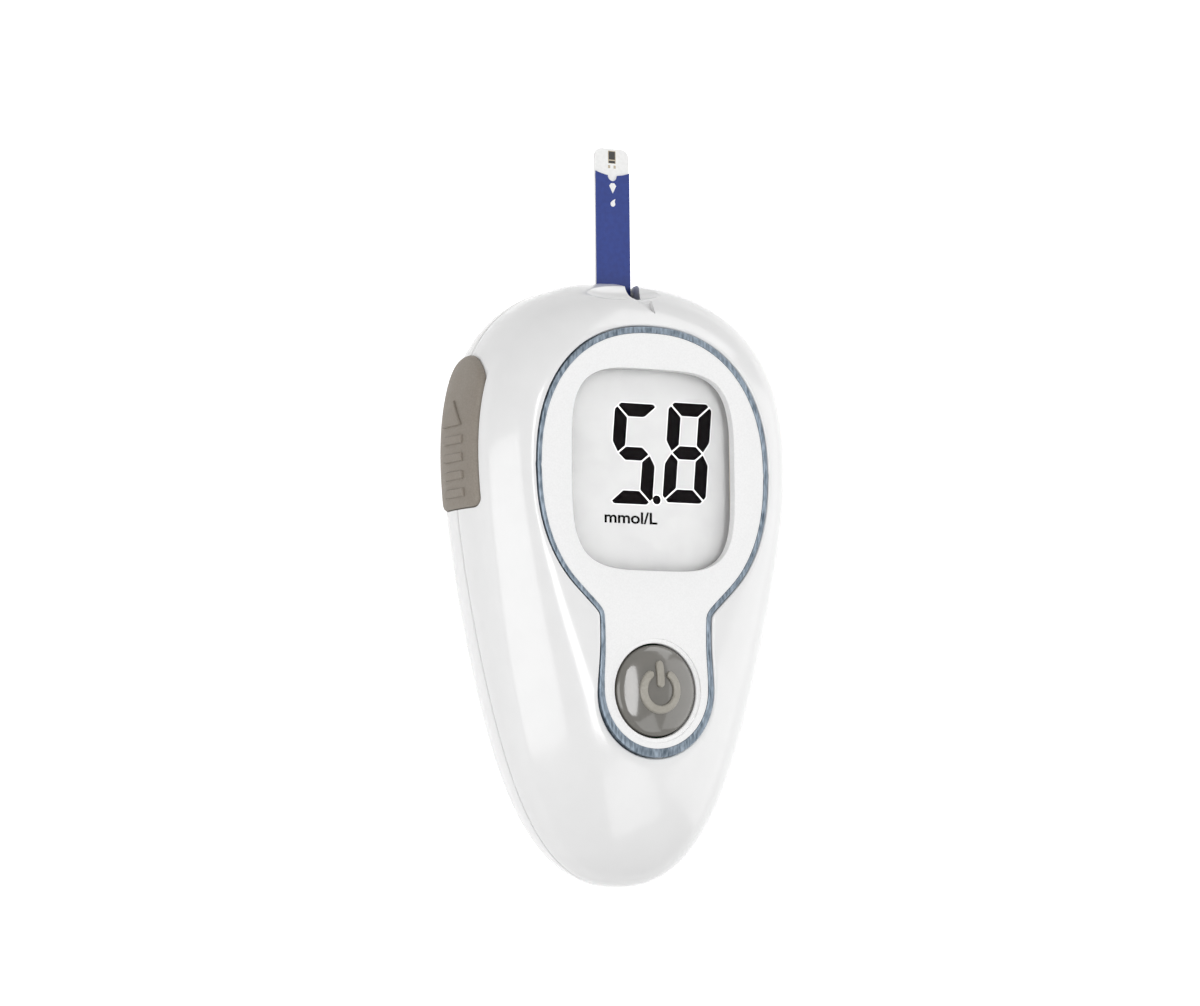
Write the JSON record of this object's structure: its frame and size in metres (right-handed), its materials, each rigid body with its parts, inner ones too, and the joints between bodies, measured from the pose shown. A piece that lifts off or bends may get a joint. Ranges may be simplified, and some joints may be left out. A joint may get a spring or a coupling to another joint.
{
  "type": "blood glucose meter",
  "caption": "Hand-held egg-shaped blood glucose meter with a display, a domed push button, a thumb slide that ejects the test strip, and a battery door in its flat back.",
  "frame": {"origin": "on the flat back, straight behind the middle of the display window", "axes": "+X to the right of the display, +Y towards the test strip end, +Z out of the display"},
  "size_m": [0.0602, 0.1208, 0.027],
  "materials": {
    "front_shell": "glossy white",
    "back_shell": "glossy white",
    "face_plate": "satin white with a fine grain",
    "trim_ring": "brushed, blue-grey",
    "display_lens": "clear, polished",
    "lcd_panel": "light grey liquid-crystal cell",
    "lcd_frame": "matt light grey",
    "zebra_strips": "layered silicone",
    "circuit_board": "green solder mask on glass-fibre laminate",
    "board_chips": "matt black moulding",
    "board_capacitors": "ceramic and metal cans",
    "buzzer": "matt black moulding",
    "button_switch": "steel cover",
    "switch_plunger": "matt black moulding",
    "main_button": "glossy taupe",
    "strip_connector": "matt ivory moulding",
    "strip_contacts": "gold-plated springs",
    "ejector_slider": "matt taupe",
    "ejector_carriage": "matt grey moulding",
    "ejector_spring": "bright spring wire",
    "battery_door": "glossy white",
    "battery_cells": "plain wrapped cells",
    "battery_springs": "nickel-plated leaf springs",
    "battery_plates": "nickel-plated plates",
    "case_screws": "zinc-plated",
    "strip_base": "white film",
    "strip_cover": "blue printed film"
  },
  "bodies": {
    "casing": {"front_shell": "front_shell", "back_shell": "back_shell", "face_plate": "face_plate", "trim_ring": "trim_ring", "display_lens": "display_lens", "lcd_panel": "lcd_panel", "lcd_frame": "lcd_frame", "zebra_strips": "zebra_strips", "circuit_board": "circuit_board", "board_chips": "board_chips", "board_capacitors": "board_capacitors", "buzzer": "buzzer", "button_switch": "button_switch", "strip_connector": "strip_connector", "strip_contacts": "strip_contacts", "ejector_spring": "ejector_spring", "battery_cells": "battery_cells", "battery_springs": "battery_springs", "battery_plates": "battery_plates", "case_screws": "case_screws"},
    "button": {"main_button": "main_button", "switch_plunger": "switch_plunger"},
    "ejector": {"ejector_slider": "ejector_slider", "ejector_carriage": "ejector_carriage"},
    "test_strip": {"strip_base": "strip_base", "strip_cover": "strip_cover"},
    "door": {"battery_door": "battery_door"}
  },
  "joints": [
    {"name": "button_press", "type": "slide", "parent": "casing", "child": "button", "axis": [0, 0, -1], "range_m": [0, 0.0005], "stiffness_N_per_m": 600, "springref_m": -0.001},
    {"name": "ejector_push", "type": "slide", "parent": "casing", "child": "ejector", "axis": [0, 1, 0], "range_m": [0, 0.006], "stiffness_N_per_m": 120, "springref_m": -0.004, "deforming": ["ejector_spring"]},
    {"name": "strip_slide", "type": "slide", "parent": "casing", "child": "test_strip", "axis": [0, 1, 0], "range_m": [0, 0.006]},
    {"name": "battery_door_swing", "type": "hinge", "parent": "casing", "child": "door", "pos_m": [0, -0.0498, 0.0006], "axis": [-1, 0, 0], "range_deg": [0, 65]}
  ],
  "couplings": [
    {"joint": "strip_slide", "follows": "ejector_push", "ratio": 1}
  ]
}
